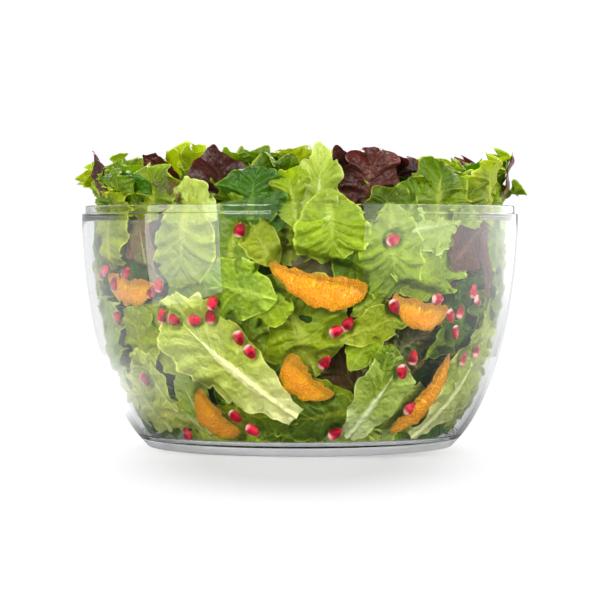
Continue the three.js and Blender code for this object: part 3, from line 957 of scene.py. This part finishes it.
def aril(name, azimuth, height, spin, depth, seed, replaces=None):
    """A pomegranate seed: a drop with flattened sides, narrower at one end."""
    rings, sides = 14, 18
    a = np.linspace(0, np.pi, rings)
    q = np.linspace(0, 2 * np.pi, sides, endpoint=False)
    aa, qq = np.meshgrid(a, q, indexing="ij")
    drop = np.sin(aa) ** 0.85 * (1 - 0.2 * np.cos(aa))
    facet = 1 + 0.07 * np.cos(3 * qq + seed) + 0.05 * np.cos(5 * qq + 2 * seed)
    x, y, z = 3.2 * drop * facet * np.cos(qq), 4.4 * np.cos(aa), 3.0 * drop * facet * np.sin(qq)
    side, up, through = spun(columns(x, y, z), spin)
    outward = float(inner_radius(height)) - depth + through
    placed = keep_inside(turned_to(azimuth, outward, side, height + up), fruit=True)
    drop_end = (1 - np.cos(aa.ravel())) / 2
    attributes = [("drop", "FLOAT", drop_end)]
    obj = mesh_object(name, placed, tube_faces(rings, sides), SEEDS[seed % 2], attributes)
    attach(obj, "salad")
    if replaces:
        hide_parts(replaces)


for n, row in enumerate(ARILS):
    aril(f"aril_{n + 1:02d}", *row, n, replaces=f"pomegranate_aril_{n + 1}" if n < 4 else None)

# ---------------- bowl and ring


def bowl_profile():
    outer = [tuple(p) for p in WALL_POINTS[::8] if p[1] > RING_HEIGHT + SEAT_GAP]
    inner = [tuple(p) for p in (WALL_POINTS + WALL * WALL_INWARD)[::8] if p[1] > FLOOR_Z + 1][::-1]
    seat = float(np.interp(RING_HEIGHT + SEAT_GAP, WALL_POINTS[:, 1], WALL_POINTS[:, 0]))
    collar_inner = COLLAR_RADIUS - COLLAR_THICKNESS
    lower = [
        (0, FLOOR_UNDER_Z),
        (SPIGOT_INNER, FLOOR_UNDER_Z),
        (SPIGOT_INNER, SPIGOT_Z),
        (SPIGOT_OUTER, SPIGOT_Z),
        (SPIGOT_OUTER, RING_HEIGHT + SEAT_GAP),
        (seat - 0.1, RING_HEIGHT + SEAT_GAP),
    ]
    upper = [
        (RIM_RADIUS, SHOULDER_Z),
        (COLLAR_RADIUS, SHOULDER_Z),
        (COLLAR_RADIUS, RIM_HEIGHT),
        (collar_inner, RIM_HEIGHT),
        (collar_inner, SHOULDER_Z),
    ]
    floor = [
        (inner[-1][0] - 4, FLOOR_Z),
        (PIVOT_BASE, FLOOR_Z),
        (PIVOT_TIP, FLOOR_Z + PIVOT_HEIGHT - 1),
        (0, FLOOR_Z + PIVOT_HEIGHT),
    ]
    return rounded(lower + outer + upper + inner + floor, 0.9)


def ring_profile():
    inner = SPIGOT_OUTER + SEAT_GAP
    top = float(np.interp(RING_HEIGHT, WALL_POINTS[:, 1], WALL_POINTS[:, 0]))
    return rounded([(inner, 0), (FOOT_RADIUS, 0), (top, RING_HEIGHT), (inner, RING_HEIGHT)], 0.25)


bowl = turned("clear_bowl", bowl_profile(), CLEAR, "bowl")
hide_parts("bowl")
ring = turned("foot_ring", ring_profile(), FROSTED, "bowl")
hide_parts("non_slip_ring")

# ---------------- studio

scene = bpy.context.scene
scene.view_settings.view_transform = "Standard"


def unlit_through(g, rays):
    """1 for a ray that leaves the plastic before it has met a matt surface, also after reflections inside."""
    return g.times(rays["Is Transmission Ray"], g.maths("LESS_THAN", rays["Diffuse Depth"], 0.5))


def seen_by_camera(g, rays):
    """1 for a ray that comes from the camera, straight or through the bowl, before it has lit a surface."""
    bounces = g.maths("ADD", rays["Diffuse Depth"], rays["Glossy Depth"])
    through = g.times(rays["Is Transmission Ray"], g.maths("LESS_THAN", bounces, 0.5))
    return g.maths("MAXIMUM", rays["Is Camera Ray"], through)


def studio_world():
    """White where it is seen, straight or through the bowl. As light it is softer, and darker in front."""
    scene.world = bpy.data.worlds.new("studio")
    g = Nodes(scene.world)
    rays = g.add("LightPath").outputs
    glossy = rays["Is Glossy Ray"]
    x, y, z = g.add("SeparateXYZ", g.add("TexCoord").outputs["Generated"]).outputs
    # in reflections it is dark at the left
    rightwards = g.maths("MULTIPLY_ADD", x, 0.8, y)
    flagged = g.times(g.smooth(rightwards, -0.6, 0.7, 1.0, 0.0), glossy)
    to_back = g.times(g.smooth(y, -0.5, 0.6, 0.0, 0.6), g.maths("SUBTRACT", 1.0, flagged))
    glow = g.maths("ADD", to_back, g.smooth(z, 0.1, 0.9, 0.0, 0.06))
    glow = g.maths("ADD", glow, g.maths("MULTIPLY_ADD", glossy, -0.08, 0.1))
    glow = g.maths("MAXIMUM", glow, g.times(unlit_through(g, rays), 0.25))
    strength = g.maths("MULTIPLY_ADD", seen_by_camera(g, rays), g.maths("SUBTRACT", 1.02, glow), glow)
    g.add("OutputWorld", g.add("Background", (1, 1, 1), strength))


def floor_material():
    """Pale paper that runs out into the white backdrop, and lights the bowl from below less than it shows.
    Near the bowl, in an oval that reaches forward, it is grey paper as painted shadow, which takes real
    shadows too.
    """
    mat, g = new_material("floor")
    place = g.place()
    x, y, _ = g.add("SeparateXYZ", place).outputs
    rays = g.add("LightPath").outputs
    seen = seen_by_camera(g, rays)
    # painted shadow: in an oval in front of the bowl the floor is grey paper, which also takes real shadows;
    # beyond it is the white backdrop
    painted_shadow_oval = g.add("Mapping", place, Location=(0.0, 0.14, 0.0), Scale=(3.0, 1.2, 1.0))
    away = g.add("VectorMath", painted_shadow_oval, operation="LENGTH").outputs["Value"]
    # painted light: seen through the bowl's clear foot, the shaded floor beneath glows nearly white
    painted_glow_beneath = g.times(g.maths("SUBTRACT", seen, rays["Is Camera Ray"]), 0.75)
    far = g.maths("MAXIMUM", g.smooth(away, 0.14, 0.36), painted_glow_beneath)
    near = g.add("BsdfDiffuse", (0.38, 0.38, 0.38))
    shown = g.add("MixShader", far, near, g.add("Emission", Strength=1.02))
    # painted reflection: in reflections the floor glows, dark in front of the bowl, bright at the sides and
    # back, with a strip at the left
    aside = g.maths("MULTIPLY_ADD", y, 0.7, g.maths("ABSOLUTE", x))
    leftwards = g.times(x, -1.0)
    strip = g.times(g.smooth(leftwards, 0.1, 0.17, 0.0, 1.1), g.smooth(leftwards, 0.19, 0.3, 1.0, 0.0))
    strip = g.times(strip, g.smooth(y, -0.3, -0.12))
    mirrored = g.add("Emission", Strength=g.maths("ADD", g.smooth(aside, -0.05, 0.45, 0.03, 1.0), strip))
    # seen through the plastic after a reflection, it glows too, dimmer in front: painted reflection as well
    inner = g.add("Emission", Strength=g.smooth(aside, -0.05, 0.3, 0.3, 1.0))
    paper = g.add("BsdfDiffuse", (0.6, 0.6, 0.6))
    bounced = g.add("MixShader", unlit_through(g, rays), paper, inner)
    lit = g.add("MixShader", rays["Is Glossy Ray"], bounced, mirrored)
    g.finish(g.add("MixShader", seen, lit, shown))
    return mat


def stage_panel(name, corners, mat):
    mesh = bpy.data.meshes.new(name)
    mesh.from_pydata(corners, [], [(0, 1, 2, 3)])
    mesh.materials.append(mat)
    obj = bpy.data.objects.new(name, mesh)
    scene.collection.objects.link(obj)
    return obj


def softbox(name, place, target, width, height, power):
    lamp = bpy.data.lights.new(name, "AREA")
    lamp.shape = "RECTANGLE"
    lamp.size, lamp.size_y, lamp.energy = width, height, power
    obj = bpy.data.objects.new(name, lamp)
    obj.location = place
    obj.rotation_euler = (Vector(target) - Vector(place)).to_track_quat("-Z", "Y").to_euler()
    obj.visible_camera = obj.visible_transmission = False
    scene.collection.objects.link(obj)


def reflected_card(name, foot, facing, width, height, glow):
    """An upright card that shows only in reflections. glow holds (height, brightness) rows."""
    a = math.atan2(facing[1] - foot[1], facing[0] - foot[0])
    across = np.array([-math.sin(a), math.cos(a)]) * width / 2
    low, high = np.array(foot) - across, np.array(foot) + across
    mat, g = new_material(name)
    ramp = g.add("FloatCurve", Value=g.maths("DIVIDE", g.add("SeparateXYZ", g.place()).outputs[2], height))
    curve = ramp.mapping.curves[0]
    top = max(value for _, value in glow)
    while len(curve.points) < len(glow):
        curve.points.new(0.5, 0.5)
    for point, (z, value) in zip(curve.points, glow):
        point.location, point.handle_type = (z / height, value / top), "VECTOR"
    ramp.mapping.update()
    g.finish(g.add("Emission", Strength=g.times(ramp, top)))
    obj = stage_panel(name, [(*low, MM), (*high, MM), (*high, height), (*low, height)], mat)
    obj.visible_camera = obj.visible_diffuse = obj.visible_transmission = obj.visible_shadow = False


studio_world()
FLOOR_REACH = 60.0
corners = [(x * FLOOR_REACH, y * FLOOR_REACH, 0) for x, y in ((-1, -1), (1, -1), (1, 1), (-1, 1))]
stage_panel("floor", corners, floor_material())
softbox("key_top", (-0.5, -0.5, 1.4), (0, 0, 0.12), 0.5, 0.5, 17)
softbox("fill_right", (1.1, -0.9, 0.6), (0, 0, 0.07), 0.8, 0.8, 27)
softbox("back_top", (0.05, 1.2, 1.0), (0, 0, 0.1), 0.9, 0.6, 26)
softbox("key_front", (-0.75, -1.45, 0.62), (0, 0, 0.08), 0.7, 0.7, 25)
LEFT_GLOW = [(0.0, 3.6), (0.037, 3.8), (0.039, 5.6), (0.54, 6.0)]
RIGHT_GLOW = [(0.0, 0.3), (0.06, 1.2), (0.12, 3.0), (0.6, 4.0)]
reflected_card("card_left", (-0.354, -0.247), (0.0, -0.05), 0.31, 0.54, LEFT_GLOW)
reflected_card("card_right", (0.275, -0.06), (0.0, -0.06), 0.86, 0.6, RIGHT_GLOW)

lens = bpy.data.cameras.new("camera")
lens.lens = 162.2
lens.sensor_width = 36
camera = bpy.data.objects.new("camera", lens)
camera.location = (0, -1.665, 0.129)
camera.rotation_euler = Euler((math.radians(90 - 1.38), 0, 0))
scene.collection.objects.link(camera)
scene.camera = camera

bpy.context.view_layer.update()
